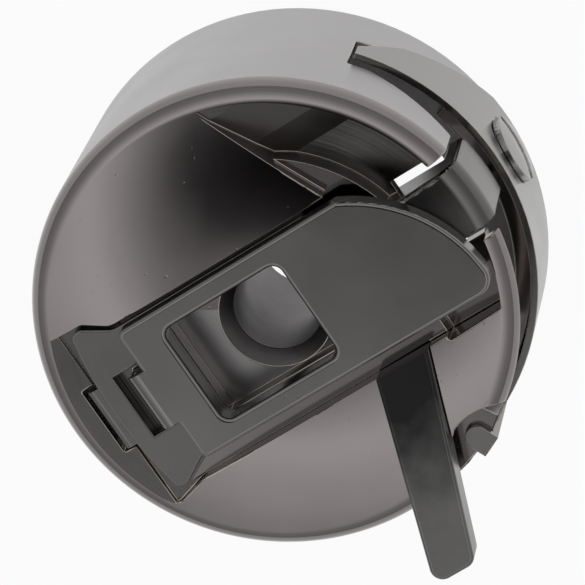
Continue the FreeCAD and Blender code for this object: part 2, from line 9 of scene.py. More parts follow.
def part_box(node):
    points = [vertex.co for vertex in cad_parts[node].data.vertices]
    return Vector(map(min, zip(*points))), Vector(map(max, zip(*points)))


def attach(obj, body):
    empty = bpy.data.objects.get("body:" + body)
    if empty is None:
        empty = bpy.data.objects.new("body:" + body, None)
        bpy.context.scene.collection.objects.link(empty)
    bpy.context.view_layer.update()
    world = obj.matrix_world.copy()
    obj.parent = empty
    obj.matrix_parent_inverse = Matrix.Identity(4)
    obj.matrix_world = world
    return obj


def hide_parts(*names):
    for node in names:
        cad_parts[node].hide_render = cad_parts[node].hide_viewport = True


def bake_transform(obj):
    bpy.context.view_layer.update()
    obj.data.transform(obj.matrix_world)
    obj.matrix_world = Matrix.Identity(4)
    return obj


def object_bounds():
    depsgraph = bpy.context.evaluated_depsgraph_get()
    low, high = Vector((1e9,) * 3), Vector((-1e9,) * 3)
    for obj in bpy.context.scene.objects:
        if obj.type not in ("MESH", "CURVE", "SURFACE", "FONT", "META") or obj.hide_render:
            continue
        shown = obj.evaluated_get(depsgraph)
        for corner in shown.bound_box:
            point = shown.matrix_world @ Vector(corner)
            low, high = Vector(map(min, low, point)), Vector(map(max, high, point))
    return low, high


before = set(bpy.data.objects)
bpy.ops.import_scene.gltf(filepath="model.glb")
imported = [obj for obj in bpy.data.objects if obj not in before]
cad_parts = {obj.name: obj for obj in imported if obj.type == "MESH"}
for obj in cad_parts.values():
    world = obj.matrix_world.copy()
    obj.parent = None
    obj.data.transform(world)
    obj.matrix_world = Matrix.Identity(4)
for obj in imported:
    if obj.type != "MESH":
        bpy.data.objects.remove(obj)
cad_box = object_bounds()


# Case body: a cup turned and milled from one bar of steel, with a stud tube in its middle.
# Its face is crowned and polished, its wall is left satin from the lathe, and all of it is
# plated dark. Most of its edges are broken by tumbling.
merge_distance = 2e-6
sliver_length = 1e-6
same_plane = math.radians(0.02)
level_limit = 0.99999


def dressed_copy(node, name, edge_break, crease=28, edge_share=None):
    """The node's own shape, shaded smooth, with its sharp edges broken if a width is given."""
    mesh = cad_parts[node].data.copy()
    work = bmesh.new()
    work.from_mesh(mesh)
    bmesh.ops.remove_doubles(work, verts=work.verts, dist=merge_distance)
    bmesh.ops.dissolve_degenerate(work, edges=work.edges, dist=sliver_length)
    bmesh.ops.dissolve_limit(work, angle_limit=same_plane, verts=work.verts, edges=work.edges)
    weight = work.edges.layers.float.new("bevel_weight_edge")
    for edge in work.edges:
        if len(edge.link_faces) == 2 and edge.calc_face_angle() > math.radians(crease):
            middle = (edge.verts[0].co + edge.verts[1].co) / 2
            edge[weight] = edge_share(middle) if edge_share else 1.0
    work.to_mesh(mesh)
    work.free()
    mesh.materials.clear()
    mesh.polygons.foreach_set("use_smooth", [True] * len(mesh.polygons))
    mesh.set_sharp_from_angle(angle=math.radians(crease))
    piece = bpy.data.objects.new(name, mesh)
    bpy.context.scene.collection.objects.link(piece)
    if edge_break:
        bevel = piece.modifiers.new("edge_break", "BEVEL")
        bevel.width = edge_break
        bevel.segments = 2
        bevel.limit_method = "WEIGHT"
        bevel.use_clamp_overlap = False
        bevel.miter_outer = "MITER_ARC"
        bevel.harden_normals = True
        flats = piece.modifiers.new("flats", "WEIGHTED_NORMAL")
        flats.weight = 100
        flats.keep_sharp = True
    else:
        plate_shading(piece, math.radians(crease))
    return piece


def plate_shading(piece, crease):
    """Keeps the level faces of a plate flat up to the start of its rolled edges."""
    mesh = piece.data
    around = [[] for _ in mesh.vertices]
    for face in mesh.polygons:
        for corner in face.vertices:
            around[corner].append((face.normal.copy(), face.area))
    corner_normals = [None] * len(mesh.loops)
    for face in mesh.polygons:
        for loop, corner in zip(face.loop_indices, face.vertices):
            near = [
                (normal, area)
                for normal, area in around[corner]
                if normal.angle(face.normal, 0.0) < crease
            ]
            level = [normal for normal, _ in near if abs(normal.z) > level_limit]
            total = sum((normal * area for normal, area in near), Vector())
            corner_normals[loop] = level[0] if level else total.normalized()
    mesh.normals_split_custom_set(corner_normals)


def true_shading(piece, surface_normal, edge_index, refine=None, stray=5e-5):
    """Applies the edge break and shades every corner with the normal of the machined surface.
    Corners that the edge break threw off the surface are laid back on it."""
    surface = BVHTree.FromPolygons(
        [vertex.co for vertex in piece.data.vertices],
        [tuple(face.vertices) for face in piece.data.polygons],
    )
    shown = piece.evaluated_get(bpy.context.evaluated_depsgraph_get())
    mesh = bpy.data.meshes.new_from_object(shown)
    piece.modifiers.clear()
    piece.data = mesh
    for vertex in mesh.vertices:
        nearest, _, _, gap = surface.find_nearest(vertex.co)
        if gap > stray:
            vertex.co = nearest
    if refine:
        refine(mesh)
    mesh.update()
    places = [vertex.co for vertex in mesh.vertices]
    beside = [[] for _ in places]
    around = [Vector() for _ in places]
    corner_normals = [None] * len(mesh.loops)
    for face in mesh.polygons:
        if face.material_index == edge_index:
            for corner in face.vertices:
                around[corner] += face.normal * face.area
            continue
        normals = surface_normal(face.normal, [places[corner] for corner in face.vertices])
        for loop, corner, normal in zip(face.loop_indices, face.vertices, normals):
            corner_normals[loop] = normal
            beside[corner].append(normal)
    for face in mesh.polygons:
        if face.material_index != edge_index:
            continue
        for loop, corner in zip(face.loop_indices, face.vertices):
            if beside[corner]:
                corner_normals[loop] = max(beside[corner], key=face.normal.dot)
            else:
                corner_normals[loop] = around[corner].normalized()
    mesh.polygons.foreach_set("use_smooth", [True] * len(mesh.polygons))
    mesh.normals_split_custom_set(corner_normals)


def add_group(name, inputs, outputs):
    """A shader node group with its sockets, and its entry and exit nodes."""
    group = bpy.data.node_groups.new(name, "ShaderNodeTree")
    for label, kind, value in inputs:
        socket = group.interface.new_socket(label, in_out="INPUT", socket_type=kind)
        if value is not None:
            socket.default_value = value
    for label, kind in outputs:
        group.interface.new_socket(label, in_out="OUTPUT", socket_type=kind)
    entry = group.nodes.new("NodeGroupInput")
    leave = group.nodes.new("NodeGroupOutput")
    return group, entry, leave


def maths(tree, operation, first, second=None):
    """A Math node's output, from numbers or sockets."""
    node = tree.nodes.new("ShaderNodeMath")
    node.operation = operation
    for slot, value in enumerate((first, second)):
        if value is None:
            continue
        if isinstance(value, (int, float)):
            node.inputs[slot].default_value = value
        else:
            tree.links.new(value, node.inputs[slot])
    return node.outputs[0]


def noise(tree, vector, scale, detail=3.0):
    """A Noise node's output at a number or socket of scale."""
    node = tree.nodes.new("ShaderNodeTexNoise")
    node.inputs["Detail"].default_value = detail
    if isinstance(scale, (int, float)):
        node.inputs["Scale"].default_value = scale
    else:
        tree.links.new(scale, node.inputs["Scale"])
    tree.links.new(vector, node.inputs["Vector"])
    return node.outputs["Fac"]


# Marks of the lathe run round the stud's axis, and fade in and out along the cut.
fade_scale = 420.0
turning_marks, entry, leave = add_group(
    "turning_marks",
    [
        ("Place", "NodeSocketVector", None),
        ("Fineness", "NodeSocketFloat", 9000.0),
    ],
    [("Height", "NodeSocketFloat")],
)
split = turning_marks.nodes.new("ShaderNodeSeparateXYZ")
turning_marks.links.new(entry.outputs["Place"], split.inputs[0])
across = maths(turning_marks, "MULTIPLY", split.outputs["X"], split.outputs["X"])
along = maths(turning_marks, "MULTIPLY", split.outputs["Y"], split.outputs["Y"])
radius = maths(turning_marks, "SQRT", maths(turning_marks, "ADD", across, along))
ring = turning_marks.nodes.new("ShaderNodeCombineXYZ")
turning_marks.links.new(radius, ring.inputs["X"])
turning_marks.links.new(split.outputs["Z"], ring.inputs["Y"])
marks = noise(turning_marks, ring.outputs[0], entry.outputs["Fineness"], detail=4.0)
fade = noise(turning_marks, entry.outputs["Place"], fade_scale, detail=2.0)
turning_marks.links.new(maths(turning_marks, "MULTIPLY", marks, fade), leave.inputs["Height"])

# Handling leaves small dents and a cloudy film that is rougher than the polish under it.
dent_size = 0.16
dent_patches = 900.0
dent_rarity = 0.62
film_low = 0.3
film_high = 0.7
handling, entry, leave = add_group(
    "handling",
    [
        ("Place", "NodeSocketVector", None),
        ("Clouds", "NodeSocketFloat", 260.0),
        ("Dents", "NodeSocketFloat", 2600.0),
    ],
    [("Film", "NodeSocketFloat"), ("Dent", "NodeSocketFloat")],
)
film = noise(handling, entry.outputs["Place"], entry.outputs["Clouds"], detail=5.0)
handling.links.new(film, leave.inputs["Film"])
cells = handling.nodes.new("ShaderNodeTexVoronoi")
handling.links.new(entry.outputs["Place"], cells.inputs["Vector"])
handling.links.new(entry.outputs["Dents"], cells.inputs["Scale"])
pit = maths(handling, "SUBTRACT", dent_size, cells.outputs["Distance"])
pit = maths(handling, "MAXIMUM", pit, 0.0)
seldom = noise(handling, entry.outputs["Place"], dent_patches, detail=1.0)
seldom = maths(handling, "GREATER_THAN", seldom, dent_rarity)
handling.links.new(maths(handling, "MULTIPLY", pit, seldom), leave.inputs["Dent"])


def steel(name, dark, light, polish, film_rough, fineness, mark_depth, dent_depth):
    """Steel: a base colour between two tones, a polish dulled by film, tool marks and dents."""
    material = bpy.data.materials.new(name)
    material.use_nodes = True
    tree = material.node_tree
    shader = tree.nodes["Principled BSDF"]
    shader.inputs["Metallic"].default_value = 1.0
    place = tree.nodes.new("ShaderNodeTexCoord").outputs["Object"]
    turned = tree.nodes.new("ShaderNodeGroup")
    turned.node_tree = turning_marks
    turned.inputs["Fineness"].default_value = fineness
    tree.links.new(place, turned.inputs["Place"])
    handled = tree.nodes.new("ShaderNodeGroup")
    handled.node_tree = handling
    tree.links.new(place, handled.inputs["Place"])

    tone = tree.nodes.new("ShaderNodeMix")
    tone.data_type = "RGBA"
    tone.inputs["A"].default_value = (*dark, 1.0)
    tone.inputs["B"].default_value = (*light, 1.0)
    tree.links.new(handled.outputs["Film"], tone.inputs["Factor"])
    tree.links.new(tone.outputs["Result"], shader.inputs["Base Color"])

    rough = tree.nodes.new("ShaderNodeMapRange")
    rough.inputs["From Min"].default_value = film_low
    rough.inputs["From Max"].default_value = film_high
    rough.inputs["To Min"].default_value = polish
    rough.inputs["To Max"].default_value = film_rough
    tree.links.new(handled.outputs["Film"], rough.inputs["Value"])
    tree.links.new(rough.outputs["Result"], shader.inputs["Roughness"])

    marks_bump = tree.nodes.new("ShaderNodeBump")
    marks_bump.inputs["Distance"].default_value = mark_depth
    tree.links.new(turned.outputs["Height"], marks_bump.inputs["Height"])
    dent_bump = tree.nodes.new("ShaderNodeBump")
    dent_bump.inputs["Distance"].default_value = dent_depth
    dent_bump.invert = True
    tree.links.new(handled.outputs["Dent"], dent_bump.inputs["Height"])
    tree.links.new(marks_bump.outputs["Normal"], dent_bump.inputs["Normal"])
    tree.links.new(dent_bump.outputs["Normal"], shader.inputs["Normal"])
    return material


face_polish = steel(
    "case_face_polish",
    dark=(0.275, 0.249, 0.251),
    light=(0.342, 0.31, 0.312),
    polish=0.09,
    film_rough=0.15,
    fineness=7000.0,
    mark_depth=1.2e-6,
    dent_depth=3e-5,
)
wall_satin = steel(
    "case_wall_satin",
    dark=(0.40, 0.39, 0.39),
    light=(0.48, 0.47, 0.47),
    polish=0.26,
    film_rough=0.36,
    fineness=9000.0,
    mark_depth=7e-6,
    dent_depth=2e-5,
)
# Edges rubbed bright by wear; their warm tint is a painted highlight that stands in for gold glints.
edge_wear_and_glint = steel(
    "case_edge_worn",
    dark=(0.42, 0.385, 0.335),
    light=(0.52, 0.475, 0.415),
    polish=0.12,
    film_rough=0.2,
    fineness=7000.0,
    mark_depth=1e-6,
    dent_depth=1e-5,
)
recess_turned = steel(
    "case_recess_turned",
    dark=(0.18, 0.17, 0.166),
    light=(0.25, 0.236, 0.229),
    polish=0.14,
    film_rough=0.24,
    fineness=3500.0,
    mark_depth=1.1e-5,
    dent_depth=1e-5,
)
# Painted dark reflection: the ramp gets a far darker copy of the plated steel, standing in for the dark
# it mirrors.
recess_ramp_painted_dark = steel(
    "case_recess_ramp",
    dark=(0.06, 0.056, 0.054),
    light=(0.12, 0.112, 0.106),
    polish=0.24,
    film_rough=0.38,
    fineness=3000.0,
    mark_depth=4e-6,
    dent_depth=2e-5,
)
bore_reamed = steel(
    "case_bore_reamed",
    dark=(0.11, 0.104, 0.104),
    light=(0.22, 0.208, 0.208),
    polish=0.34,
    film_rough=0.5,
    fineness=4200.0,
    mark_depth=2.2e-5,
    dent_depth=3e-5,
)
channel_milled = steel(
    "case_channel_milled",
    dark=(0.14, 0.133, 0.13),
    light=(0.2, 0.19, 0.186),
    polish=0.16,
    film_rough=0.26,
    fineness=2600.0,
    mark_depth=6e-6,
    dent_depth=2e-5,
)
body_finishes = [
    face_polish,
    wall_satin,
    edge_wear_and_glint,
    recess_turned,
    recess_ramp_painted_dark,
    bore_reamed,
    channel_milled,
]
# Sizes, places and slopes of the turned and milled surfaces. Lengths are in metres.
case_radius = 0.0114
cup_radius = 0.0106
ring_radius = 0.01055
crown_top = 0.01187
crown_flat = 0.0045
crown_inner_lean = math.radians(1.8)
crown_outer_lean = math.radians(13.8)
shoulder_round = 0.0012
shoulder_ring = case_radius - shoulder_round
crown_reach = shoulder_ring + shoulder_round * math.sin(crown_outer_lean)
dome_radius = (crown_reach - crown_flat) / (math.sin(crown_outer_lean) - math.sin(crown_inner_lean))
dome_middle_reach = crown_flat - dome_radius * math.sin(crown_inner_lean)
dome_middle_height = crown_top - dome_radius * math.cos(crown_inner_lean)
shoulder_start = dome_middle_height + (dome_radius - shoulder_round) * math.cos(crown_outer_lean)
shoulder_height = 0.0098
stud_bore = 0.0021
stud_radius = 0.0028
stud_reach = 0.003
mouth_depth = 0.0009
mouth_flare = 0.00055
mouth_start = 0.009
mouth_slope = mouth_flare / mouth_depth
mouth_lean = math.atan2(mouth_depth, mouth_flare)
mouth_rise = 0.2
notch_middle = Vector((0.0053, -0.0109, 0.0))
notch_radius = 0.00235
recess_rim = 0.0105
recess_inner = 0.0078
recess_low_reach = 0.0075
recess_low_y = 0.0018
recess_floor_x = 0.003
recess_top = 0.0113
ramp_rise = 0.5
ramp_turn = -0.15
tongue_root = 0.0085
tongue_low = -0.0014
tongue_high = 0.0019
tongue_foot = 0.0055
pocket_height = 0.0099
channel_flare_x = -0.0055
channel_height = 0.0112
lever_cover = 0.0064
turned_radii = (case_radius, cup_radius, ring_radius, recess_rim, recess_inner, stud_radius, stud_bore)
# Limits that tell one surface from another, and the fineness of the crown's mesh.
nearness = 4e-5
turned_nearness = 1e-4
face_up = 0.99
crown_up = 0.95
upright = 0.05
wall_outward = 0.9
bore_outward = 0.7
body_edge_break = 8e-5
inner_edge_share = 0.45
crown_grain = 3.5e-4
shoulder_grain = 1.6e-4
crown_rounds = 7
crown_kind = 1
shoulder_kind = 2


def leaning(place, tilt):
    """A direction that leans outwards from the stud's axis by the given angle."""
    outwards = Vector((place.x, place.y, 0.0)).normalized()
    return (outwards * math.sin(tilt) + Vector((0.0, 0.0, math.cos(tilt)))).normalized()


def crown_lean(place):
    """The crown is a low dome: its lean grows from the middle to the shoulder."""
    out = max(math.hypot(place.x, place.y) - dome_middle_reach, 0.0)
    return math.asin(out / dome_radius)


def shoulder_lean(place):
    """The shoulder turns from the dome to the wall."""
    reach = math.hypot(place.x, place.y)
    return math.atan2(reach - shoulder_ring, place.z - shoulder_start)


def on_crown(place):
    """Whether a place lies on the crown, its level middle included."""
    reach = math.hypot(place.x, place.y)
    if reach > crown_reach + nearness:
        return False
    if reach < crown_flat:
        return abs(place.z - crown_top) < turned_nearness
    from_middle = math.hypot(reach - dome_middle_reach, place.z - dome_middle_height)
    return abs(from_middle - dome_radius) < turned_nearness


def on_shoulder(place):
    """Whether a place lies on the round between the crown and the wall."""
    reach = math.hypot(place.x, place.y)
    from_ring = math.hypot(reach - shoulder_ring, place.z - shoulder_start)
    return reach > crown_reach - nearness and abs(from_ring - shoulder_round) < turned_nearness


def on_mouth(place):
    """Whether a place lies on the flared mouth of the stud's bore."""
    out = math.hypot(place.x, place.y) - stud_bore
    rise = place.z - mouth_start
    return rise > -nearness and abs(out - rise * mouth_slope) < nearness


def turned_kind(facing, corners):
    """The kind of a face: crown, shoulder, or 0 for any other."""
    if facing.z > crown_up and all(on_crown(place) for place in corners):
        return crown_kind
    if facing.z > -upright and all(on_shoulder(place) for place in corners):
        return shoulder_kind
    return 0


def body_normal(facing, corners):
    """Normals of the crown, shoulder, notch, mouth and turned walls; other faces are flat."""
    kind = turned_kind(facing, corners)
    if kind == crown_kind:
        return [leaning(place, crown_lean(place)) for place in corners]
    if kind == shoulder_kind:
        return [leaning(place, shoulder_lean(place)) for place in corners]
    if all(on_mouth(place) for place in corners):
        return [leaning(place, -mouth_lean) for place in corners]
    if abs(facing.z) < upright:
        for radius in turned_radii:
            if all(abs(math.hypot(place.x, place.y) - radius) < nearness for place in corners):
                side = math.copysign(1.0, facing.dot(corners[0] * Vector((1, 1, 0))))
                return [leaning(place, math.pi / 2) * side for place in corners]
        spokes = [(notch_middle - place) * Vector((1, 1, 0)) for place in corners]
        if all(abs(spoke.length - notch_radius) < nearness for spoke in spokes):
            return [spoke.normalized() for spoke in spokes]
    return [facing.copy() for place in corners]


def grain_at(edge, kind):
    """The longest edge that is wanted beside this edge's faces."""
    kinds = [face[kind] for face in edge.link_faces]
    if shoulder_kind in kinds:
        return shoulder_grain
    return crown_grain if crown_kind in kinds else math.inf


def refine_crown(mesh):
    """Divides the crown and shoulder finely, and lays each corner on the turned surface."""
    work = bmesh.new()
    work.from_mesh(mesh)
    kind = work.faces.layers.int.new("turned_kind")
    for face in work.faces:
        if body_finishes[face.material_index] in (face_polish, channel_milled):
            face[kind] = turned_kind(face.normal, [vert.co for vert in face.verts])
    for _ in range(crown_rounds):
        long_edges = [edge for edge in work.edges if edge.calc_length() > grain_at(edge, kind)]
        if not long_edges:
            break
        bmesh.ops.subdivide_edges(work, edges=long_edges, cuts=1)
        many = [face for face in work.faces if face[kind] and len(face.verts) > 3]
        bmesh.ops.triangulate(work, faces=many)
    for face in work.faces:
        for vert in face.verts:
            place = vert.co
            out = math.hypot(place.x, place.y)
            if face[kind] == crown_kind:
                fall = max(out - dome_middle_reach, 0.0)
                dome = dome_middle_height + math.sqrt(dome_radius ** 2 - fall ** 2)
                place.z = crown_top if out < crown_flat else dome
            elif face[kind] == shoulder_kind:
                ring = Vector((place.x, place.y, 0.0)) * (shoulder_ring / out)
                ring.z = shoulder_start
                vert.co = ring + (place - ring).normalized() * shoulder_round
    work.to_mesh(mesh)
    work.free()


def body_edge_share(place):
    """Edges inside the recess and under the lever are broken less, and the recess rim is left sharp."""
    out = math.hypot(place.x, place.y)
    on_rim = abs(out - recess_rim) < nearness and place.y > 0
    in_recess = place.y > recess_low_y and recess_low_reach < out < recess_rim
    if on_rim:
        return 0.0
    return inner_edge_share if in_recess or out < lever_cover else 1.0


def body_finish(face):
    """The finish of a face of the body, by its place and direction."""
    place = face.center
    facing = face.normal
    outward = math.hypot(facing.x, facing.y)
    reach = math.hypot(place.x, place.y)
    on_tongue = place.x > tongue_root and tongue_low < place.y < tongue_high and place.z > tongue_foot
    in_recess = recess_inner < reach < cup_radius and place.y > recess_low_y and place.z < recess_top
    if on_tongue:
        return channel_milled
    if reach > shoulder_ring and outward > wall_outward and place.z < shoulder_height:
        return wall_satin
    if in_recess and facing.z > face_up and place.x > recess_floor_x:
        return recess_turned
    # The ramp takes the darkened colour, a painted dark reflection.
    if in_recess and facing.z > ramp_rise and facing.y < ramp_turn:
        return recess_ramp_painted_dark
    if reach < stud_reach and outward > bore_outward:
        return bore_reamed if facing.z < mouth_rise else wall_satin
    if reach < lever_cover and facing.z > face_up and place.z < pocket_height:
        return wall_satin
    if facing.z > face_up and place.x < channel_flare_x and place.z < channel_height:
        return channel_milled
    return face_polish


case_body = dressed_copy("case_body", "case_body_dressed", body_edge_break, edge_share=body_edge_share)
for finish in body_finishes:
    case_body.data.materials.append(finish)
for face in case_body.data.polygons:
    face.material_index = body_finishes.index(body_finish(face))
edge_index = body_finishes.index(edge_wear_and_glint)
case_body.modifiers["edge_break"].material = edge_index
true_shading(case_body, body_normal, edge_index, refine=refine_crown)
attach(case_body, "case")
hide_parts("case_body")


# Position finger: a flat steel bar set into the face, whose free end keeps the case from turning
# in the machine. It is finished dark, and painted shade darkens it to near black towards its root.
finger_satin_painted_shade = steel(
    "finger_satin_painted_shade",
    dark=(0.16, 0.157, 0.155),
    light=(0.25, 0.246, 0.241),
    polish=0.2,
    film_rough=0.32,
    fineness=5000.0,
    mark_depth=2e-6,
    dent_depth=3e-5,
)
root_shade_black = (0.035, 0.035, 0.035, 1.0)
shade_fade_from_y = -0.0066
shade_fade_full_y = -0.0118
cloud_scale = 700.0
cloud_spread = 0.004
cloud_middle = 0.5
# Painted shade: along Y the colour goes from near black at the root to the steel's tones, with a noisy
# edge.
tree = finger_satin_painted_shade.node_tree
place = tree.nodes.new("ShaderNodeTexCoord").outputs["Object"]
along = tree.nodes.new("ShaderNodeSeparateXYZ")
tree.links.new(place, along.inputs[0])
shade_fade = tree.nodes.new("ShaderNodeMapRange")
shade_fade.inputs["From Min"].default_value = shade_fade_from_y
shade_fade.inputs["From Max"].default_value = shade_fade_full_y
cloud = maths(tree, "SUBTRACT", noise(tree, place, cloud_scale), cloud_middle)
cloud = maths(tree, "MULTIPLY", cloud, cloud_spread)
tree.links.new(maths(tree, "ADD", along.outputs["Y"], cloud), shade_fade.inputs["Value"])
painted_shade_mix = tree.nodes.new("ShaderNodeMix")
painted_shade_mix.data_type = "RGBA"
painted_shade_mix.inputs["A"].default_value = root_shade_black
shader = tree.nodes["Principled BSDF"]
tree.links.new(shade_fade.outputs["Result"], painted_shade_mix.inputs["Factor"])
tree.links.new(shader.inputs["Base Color"].links[0].from_socket, painted_shade_mix.inputs["B"])
tree.links.new(painted_shade_mix.outputs["Result"], shader.inputs["Base Color"])
finger = dressed_copy("position_finger", "position_finger_dressed", edge_break=0)
finger.data.materials.append(finger_satin_painted_shade)
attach(finger, "case")
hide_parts("position_finger")


# Hinge pin: a short length of ground steel wire pressed across the two posts under the latch.
# The lever's knuckle turns on it.
pin_ground = steel(
    "hinge_pin_ground",
    dark=(0.42, 0.41, 0.4),
    light=(0.5, 0.49, 0.48),
    polish=0.2,
    film_rough=0.3,
    fineness=9000.0,
    mark_depth=2e-6,
    dent_depth=1e-5,
)
pin = dressed_copy("latch_hinge_pin", "latch_hinge_pin_dressed", edge_break=3e-5)
pin.data.materials.append(pin_ground)
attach(pin, "case")
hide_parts("latch_hinge_pin")


# Latch slide: a stamped steel plate that runs in the channel under the lever. Its toe is bent down
# through the face, and its edges are rolled over by the die.
slide_stamped = steel(
    "slide_stamped",
    dark=(0.18, 0.175, 0.172),
    light=(0.24, 0.233, 0.229),
    polish=0.22,
    film_rough=0.34,
    fineness=4000.0,
    mark_depth=2e-6,
    dent_depth=2e-5,
)
slide = dressed_copy("latch_slide", "latch_slide_dressed", edge_break=0)
slide.data.materials.append(slide_stamped)
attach(slide, "slide")
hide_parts("latch_slide")


# Latch spring: a small compression spring of drawn steel wire that lies in a groove of the face.
# It pushes on the end of the slide.
coil_bright = steel(
    "coil_bright",
    dark=(0.5, 0.5, 0.49),
    light=(0.6, 0.6, 0.59),
    polish=0.2,
    film_rough=0.3,
    fineness=9000.0,
    mark_depth=1e-6,
    dent_depth=1e-6,
)
coil_low, coil_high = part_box("latch_spring")
coil_wire_radius = 0.00015
coil_turns = 4.25
coil_pitch = 0.00076
coil_length = coil_pitch * coil_turns
turn_steps = 40
wire_sides = 16
coil_radius = (coil_high.y - coil_low.y) / 2 - coil_wire_radius
coil_tree = bpy.data.node_groups.new("wound_spring", "GeometryNodeTree")
coil_tree.interface.new_socket("Geometry", in_out="OUTPUT", socket_type="NodeSocketGeometry")
coil_sizes = {
    "Turns": coil_turns,
    "Radius": coil_radius,
    "Length": coil_length,
    "Wire": coil_wire_radius,
}
coil_ids = {}
for label in coil_sizes:
    socket = coil_tree.interface.new_socket(label, in_out="INPUT", socket_type="NodeSocketFloat")
    coil_ids[label] = socket.identifier
coil_in = coil_tree.nodes.new("NodeGroupInput")
coil_out = coil_tree.nodes.new("NodeGroupOutput")
spiral = coil_tree.nodes.new("GeometryNodeCurveSpiral")
spiral.inputs["Resolution"].default_value = turn_steps
round_wire = coil_tree.nodes.new("GeometryNodeCurvePrimitiveCircle")
round_wire.inputs["Resolution"].default_value = wire_sides
skin = coil_tree.nodes.new("GeometryNodeCurveToMesh")
skin.inputs["Fill Caps"].default_value = True
realize = coil_tree.nodes.new("GeometryNodeRealizeInstances")
paint = coil_tree.nodes.new("GeometryNodeSetMaterial")
paint.inputs["Material"].default_value = coil_bright
lay = coil_tree.nodes.new("GeometryNodeTransform")
lay.inputs["Rotation"].default_value = (0.0, math.radians(90), 0.0)
for source, target in (
    (coil_in.outputs["Turns"], spiral.inputs["Rotations"]),
    (coil_in.outputs["Radius"], spiral.inputs["Start Radius"]),
    (coil_in.outputs["Radius"], spiral.inputs["End Radius"]),
    (coil_in.outputs["Length"], spiral.inputs["Height"]),
    (coil_in.outputs["Wire"], round_wire.inputs["Radius"]),
    (spiral.outputs[0], skin.inputs["Curve"]),
    (round_wire.outputs[0], skin.inputs["Profile Curve"]),
    (skin.outputs[0], lay.inputs["Geometry"]),
    (lay.outputs[0], realize.inputs[0]),
    (realize.outputs[0], paint.inputs[0]),
    (paint.outputs[0], coil_out.inputs[0]),
):
    coil_tree.links.new(source, target)
coil_seed = bpy.data.objects.new("coil_seed", bpy.data.meshes.new("coil_seed"))
bpy.context.scene.collection.objects.link(coil_seed)
winder = coil_seed.modifiers.new("winder", "NODES")
winder.node_group = coil_tree
for label, value in coil_sizes.items():
    winder[coil_ids[label]] = value
shown = coil_seed.evaluated_get(bpy.context.evaluated_depsgraph_get())
coil_mesh = bpy.data.meshes.new_from_object(shown)
bpy.data.objects.remove(coil_seed)
coil_middle = (coil_low + coil_high) / 2
low_x = min(vertex.co.x for vertex in coil_mesh.vertices)
for vertex in coil_mesh.vertices:
    vertex.co.x += coil_low.x - low_x
    vertex.co.y += coil_middle.y
    vertex.co.z += coil_middle.z
coil_mesh.polygons.foreach_set("use_smooth", [True] * len(coil_mesh.polygons))
coil = bpy.data.objects.new("latch_spring_wound", coil_mesh)
bpy.context.scene.collection.objects.link(coil)
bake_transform(coil)
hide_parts("latch_spring")


# Latch lever: a thick stamped steel plate with a window over the stud, tumbled to a dark satin.
# Its edges are rolled over, and the knuckle at its end turns on the hinge pin.
lever_satin = steel(
    "lever_satin",
    dark=(0.225, 0.218, 0.212),
    light=(0.275, 0.267, 0.26),
    polish=0.17,
    film_rough=0.23,
    fineness=3000.0,
    mark_depth=1e-6,
    dent_depth=1.5e-5,
)
lever = dressed_copy("latch_lever", "latch_lever_dressed", edge_break=0)
lever.data.materials.append(lever_satin)
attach(lever, "lever")
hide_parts("latch_lever")


# Tension spring: a leaf of light spring steel bent round the wall. The thread runs under it,
# and a hook at its far end holds it over the face.
leaf_bright = steel(
    "leaf_bright",
    dark=(0.26, 0.255, 0.25),
    light=(0.34, 0.333, 0.327),
    polish=0.17,
    film_rough=0.27,
    fineness=6000.0,
    mark_depth=3e-6,
    dent_depth=2e-5,
)
screw_height = 0.00265
screw_turn = math.radians(-4.0)
screw_axis = Vector((math.cos(screw_turn), math.sin(screw_turn), 0.0))
screw_middle = screw_axis * case_radius + Vector((0.0, 0.0, screw_height))
screw_seat_reach = 0.0021
across_screw = 0.1
leaf_edge_break = 4e-5
leaf_stray = 2e-5
# The leaf's edges share that worn colour and its painted warm highlight.
leaf_finishes = [leaf_bright, edge_wear_and_glint]


def leaf_edge_share(place):
    """The seat of the screw is left sharp."""
    return 0.0 if (place - screw_middle).length < screw_seat_reach else 1.0


def leaf_normal(facing, corners):
    """The leaf is round where it follows the wall and round the screw; the rest of it is flat."""
    out = [math.hypot(place.x, place.y) for place in corners]
    if abs(facing.z) < upright and max(out) - min(out) < nearness:
        side = math.copysign(1.0, facing.dot(corners[0] * Vector((1, 1, 0))))
        return [leaning(place, math.pi / 2) * side for place in corners]
    spokes = [place - screw_middle for place in corners]
    spokes = [spoke - screw_axis * spoke.dot(screw_axis) for spoke in spokes]
    lengths = [spoke.length for spoke in spokes]
    in_seat = max(lengths) < screw_seat_reach and max(lengths) - min(lengths) < nearness
    if in_seat and abs(facing.dot(screw_axis)) < across_screw:
        return [-spoke.normalized() for spoke in spokes]
    return [facing.copy() for place in corners]


leaf = dressed_copy(
    "tension_spring", "tension_spring_dressed", leaf_edge_break, edge_share=leaf_edge_share
)
for finish in leaf_finishes:
    leaf.data.materials.append(finish)
edge_index = leaf_finishes.index(edge_wear_and_glint)
leaf.modifiers["edge_break"].material = edge_index
true_shading(leaf, leaf_normal, edge_index, stray=leaf_stray)
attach(leaf, "case")
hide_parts("tension_spring")


# Tension screw: a small turned steel screw with a slot in its low domed head, plated like the case.
# It goes through the leaf into the wall, and sets how hard the leaf presses on the thread.
screw_polish = steel(
    "screw_polish",
    dark=(0.36, 0.345, 0.34),
    light=(0.44, 0.425, 0.42),
    polish=0.16,
    film_rough=0.26,
    fineness=8000.0,
    mark_depth=2e-6,
    dent_depth=1e-5,
)
screw = dressed_copy("tension_screw", "tension_screw_dressed", edge_break=4e-5)
screw.data.materials.append(screw_polish)
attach(screw, "screw")
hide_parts("tension_screw")


